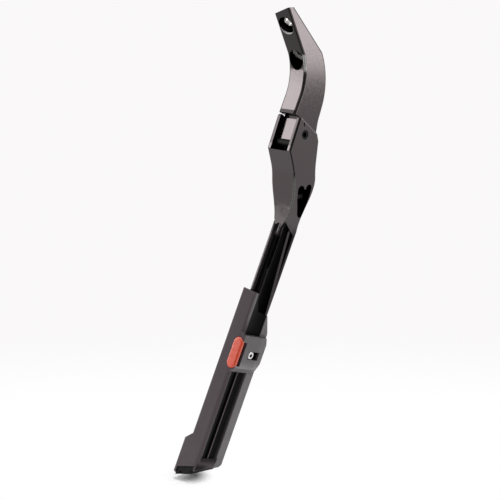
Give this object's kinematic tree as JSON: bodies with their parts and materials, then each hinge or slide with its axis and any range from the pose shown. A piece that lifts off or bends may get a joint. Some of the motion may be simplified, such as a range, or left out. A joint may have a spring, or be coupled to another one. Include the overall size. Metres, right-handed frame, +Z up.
{
  "type": "bicycle kickstand",
  "caption": "Bicycle kickstand with a bolt-on wedge bracket, a fluted leg that folds on a pin, and a plastic foot that slides for length and locks with a red release button.",
  "frame": {"origin": "middle of the mounting face, halfway between the two bolt holes", "axes": "+Z is up with the stand in use, +Y points away from the bicycle, and the leg folds towards -X"},
  "size_m": [0.08, 0.038, 0.2469],
  "materials": {
    "black_casting": "semi-gloss black paint on cast aluminium",
    "black_plastic": "satin moulded plastic",
    "red_plastic": "smooth coral red plastic",
    "black_rubber": "matte black rubber",
    "bright_steel": "bright zinc-plated steel",
    "dark_steel": "blackened and oiled steel",
    "bronze": "plain bronze bearing"
  },
  "bodies": {
    "bracket": {"mount_bracket": "black_casting", "pivot_bush": "bronze"},
    "leg": {"leg": "black_casting", "pivot_pin": "dark_steel", "spring_seat": "dark_steel"},
    "strut": {"strut": "dark_steel", "rod_clip": "dark_steel", "strut_spring": "dark_steel"},
    "foot": {"foot_sleeve": "black_plastic", "rubber_sole": "black_rubber"},
    "button": {"release_button": "red_plastic", "lock_pin": "bright_steel", "button_spring": "bright_steel"}
  },
  "joints": [
    {"name": "leg_fold", "type": "hinge", "parent": "bracket", "child": "leg", "pos_m": [-0.0051, 0, -0.0531], "axis": [0, 1, 0], "range_deg": [0, 95]},
    {"name": "strut_swing", "type": "hinge", "parent": "bracket", "child": "strut", "pos_m": [-0.01043, 0, -0.05764], "axis": [0, 1, 0], "range_deg": [0, 115.7], "deforming": ["strut_spring"]},
    {"name": "foot_slide", "type": "slide", "parent": "leg", "child": "foot", "axis": [-0.3229, 0.1404, -0.936], "range_m": [-0.02, 0.03]},
    {"name": "button_press", "type": "slide", "parent": "foot", "child": "button", "axis": [0.9464, 0.0479, -0.3193], "range_m": [0, 0.0024], "stiffness_N_per_m": 1500, "springref_m": -0.001, "deforming": ["button_spring"]}
  ],
  "couplings": [
    {"joint": "strut_swing", "follows": "leg_fold", "ratio": 1.2176}
  ]
}
